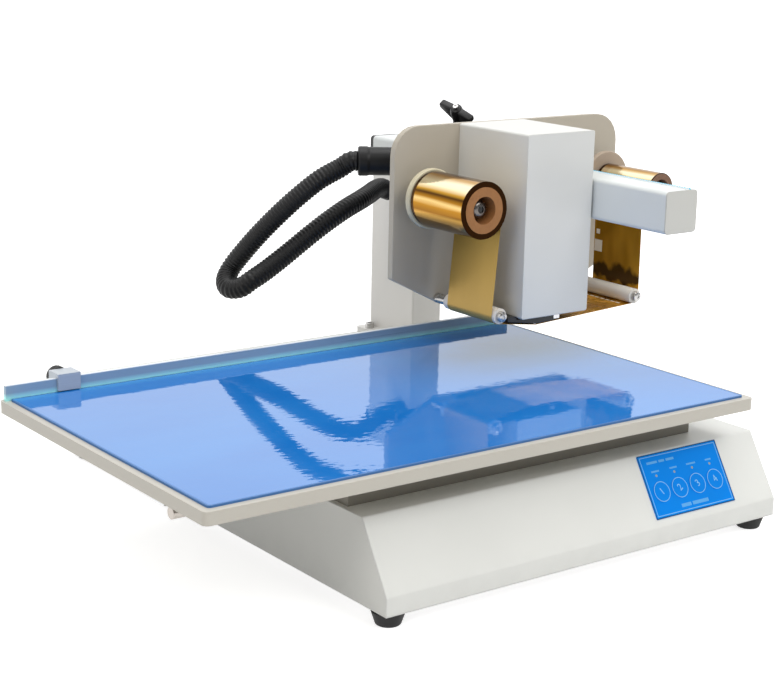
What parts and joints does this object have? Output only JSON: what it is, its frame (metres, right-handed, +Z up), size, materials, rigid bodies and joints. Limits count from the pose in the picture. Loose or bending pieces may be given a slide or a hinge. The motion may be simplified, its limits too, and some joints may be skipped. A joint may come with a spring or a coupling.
{
  "type": "hot foil stamper",
  "caption": "Desktop digital foil printer: sliding table on a low sloped base, cantilever beam with foil rolls and a thermal head, corrugated cable hose",
  "frame": {"origin": "middle of the machine's bounding box, on the surface its feet stand on", "axes": "X along the table's front edge, to the right as seen from the front; Y from front to rear; Z up"},
  "size_m": [0.664, 0.56, 0.3706],
  "materials": {
    "base_shell": null,
    "bottom_plate": null,
    "feet": null,
    "foot_screws": null,
    "keypad": null,
    "status_lamps": null,
    "circuit_boards": null,
    "power_supply": null,
    "rear_sockets": null,
    "slide_bed": null,
    "bearing_blocks": null,
    "x_motor": null,
    "column": null,
    "column_bolts": null,
    "beam": null,
    "beam_rear_cap": null,
    "drive_strip": null,
    "column_gland": null,
    "hose": null,
    "table_plate": null,
    "mat": null,
    "fence": null,
    "fence_screws": null,
    "guide_rods": null,
    "rod_brackets": null,
    "x_rack": null,
    "x_pinion": null,
    "stop_block": null,
    "thumb_screw": null,
    "carriage_block": null,
    "carriage_cover": null,
    "y_motor": null,
    "hose_fitting": null,
    "y_pinion": null,
    "wing_knob": null,
    "back_plate": null,
    "z_sliders": null,
    "head_cover": null,
    "press_frame": null,
    "press_motor": null,
    "spindle_bearings": null,
    "takeup_motor": null,
    "roller_shafts": null,
    "foil_web": null,
    "head_holder": null,
    "thermal_head": null,
    "foil_span": null,
    "supply_spindle": null,
    "supply_core": null,
    "foil_roll": null,
    "takeup_spindle": null,
    "takeup_core": null,
    "takeup_roll": null,
    "left_roller": null,
    "right_roller": null,
    "rocker": null,
    "key_1": null,
    "key_2": null,
    "key_3": null,
    "key_4": null
  },
  "bodies": {
    "frame": {"base_shell": "base_shell", "bottom_plate": "bottom_plate", "feet": "feet", "foot_screws": "foot_screws", "keypad": "keypad", "status_lamps": "status_lamps", "circuit_boards": "circuit_boards", "power_supply": "power_supply", "rear_sockets": "rear_sockets", "slide_bed": "slide_bed", "bearing_blocks": "bearing_blocks", "x_motor": "x_motor", "column": "column", "column_bolts": "column_bolts", "beam": "beam", "beam_rear_cap": "beam_rear_cap", "drive_strip": "drive_strip", "column_gland": "column_gland", "hose": "hose"},
    "table": {"table_plate": "table_plate", "mat": "mat", "fence": "fence", "fence_screws": "fence_screws", "guide_rods": "guide_rods", "rod_brackets": "rod_brackets", "x_rack": "x_rack"},
    "x_pinion": {"x_pinion": "x_pinion"},
    "stop": {"stop_block": "stop_block"},
    "thumb_screw": {"thumb_screw": "thumb_screw"},
    "carriage": {"carriage_block": "carriage_block", "carriage_cover": "carriage_cover", "y_motor": "y_motor", "hose_fitting": "hose_fitting"},
    "y_pinion": {"y_pinion": "y_pinion"},
    "wing_knob": {"wing_knob": "wing_knob"},
    "head": {"back_plate": "back_plate", "z_sliders": "z_sliders", "head_cover": "head_cover", "press_frame": "press_frame", "press_motor": "press_motor", "spindle_bearings": "spindle_bearings", "takeup_motor": "takeup_motor", "roller_shafts": "roller_shafts", "foil_web": "foil_web"},
    "print_head": {"head_holder": "head_holder", "thermal_head": "thermal_head", "foil_span": "foil_span"},
    "supply": {"supply_spindle": "supply_spindle", "supply_core": "supply_core", "foil_roll": "foil_roll"},
    "takeup": {"takeup_spindle": "takeup_spindle", "takeup_core": "takeup_core", "takeup_roll": "takeup_roll"},
    "left_roller": {"left_roller": "left_roller"},
    "right_roller": {"right_roller": "right_roller"},
    "rocker": {"rocker": "rocker"},
    "key_1": {"key_1": "key_1"},
    "key_2": {"key_2": "key_2"},
    "key_3": {"key_3": "key_3"},
    "key_4": {"key_4": "key_4"}
  },
  "joints": [
    {"name": "table_slide", "type": "slide", "parent": "frame", "child": "table", "axis": [1, 0, 0], "range_m": [-0.075, 0.245]},
    {"name": "x_pinion_spin", "type": "hinge", "parent": "frame", "child": "x_pinion", "pos_m": [0.055, -0.0975, 0.12], "axis": [0, 0, 1], "range_deg": [-1045, 325]},
    {"name": "stop_slide", "type": "slide", "parent": "table", "child": "stop", "axis": [1, 0, 0], "range_m": [-0.045, 0.48]},
    {"name": "thumb_screw_turn", "type": "hinge", "parent": "stop", "child": "thumb_screw", "pos_m": [-0.269, 0.08, 0.1408], "axis": [0, 1, 0], "range_deg": [0, 360]},
    {"name": "head_slide", "type": "slide", "parent": "frame", "child": "carriage", "axis": [0, 1, 0], "range_m": [-0.18, 0]},
    {"name": "y_pinion_spin", "type": "hinge", "parent": "carriage", "child": "y_pinion", "pos_m": [0.241, 0.0824, 0.32125], "axis": [1, 0, 0], "range_deg": [-5, 1040]},
    {"name": "wing_knob_turn", "type": "hinge", "parent": "carriage", "child": "wing_knob", "pos_m": [0.1867, 0.0924, 0.349], "axis": [-0.5627, -0.4478, 0.6949], "range_deg": [-45, 45]},
    {"name": "head_height", "type": "slide", "parent": "carriage", "child": "head", "axis": [0, 0, 1], "range_m": [-0.028, 0]},
    {"name": "head_press", "type": "slide", "parent": "head", "child": "print_head", "axis": [0, 0, 1], "range_m": [-0.012, 0], "deforming": ["foil_span"]},
    {"name": "supply_spin", "type": "hinge", "parent": "head", "child": "supply", "pos_m": [0.0745, -0.05, 0.291], "axis": [0, 1, 0], "continuous": true},
    {"name": "takeup_spin", "type": "hinge", "parent": "head", "child": "takeup", "pos_m": [0.3005, -0.05, 0.2935], "axis": [0, 1, 0], "continuous": true},
    {"name": "left_roller_spin", "type": "hinge", "parent": "head", "child": "left_roller", "pos_m": [0.101, -0.05, 0.1875], "axis": [0, 1, 0], "continuous": true},
    {"name": "right_roller_spin", "type": "hinge", "parent": "head", "child": "right_roller", "pos_m": [0.276, -0.05, 0.1875], "axis": [0, 1, 0], "continuous": true},
    {"name": "rocker_tilt", "type": "hinge", "parent": "frame", "child": "rocker", "pos_m": [-0.015, 0.273, 0.0455], "axis": [1, 0, 0], "range_deg": [-12, 0]},
    {"name": "key_1_press", "type": "slide", "parent": "frame", "child": "key_1", "axis": [0, 0.8542, -0.5199], "range_m": [0, 0.0005], "stiffness_N_per_m": 400, "springref_m": -0.0005},
    {"name": "key_2_press", "type": "slide", "parent": "frame", "child": "key_2", "axis": [0, 0.8542, -0.5199], "range_m": [0, 0.0005], "stiffness_N_per_m": 400, "springref_m": -0.0005},
    {"name": "key_3_press", "type": "slide", "parent": "frame", "child": "key_3", "axis": [0, 0.8542, -0.5199], "range_m": [0, 0.0005], "stiffness_N_per_m": 400, "springref_m": -0.0005},
    {"name": "key_4_press", "type": "slide", "parent": "frame", "child": "key_4", "axis": [0, 0.8542, -0.5199], "range_m": [0, 0.0005], "stiffness_N_per_m": 400, "springref_m": -0.0005}
  ],
  "couplings": [
    {"joint": "x_pinion_spin", "follows": "table_slide", "rad_per_m": -74.074},
    {"joint": "y_pinion_spin", "follows": "head_slide", "rad_per_m": -100}
  ]
}
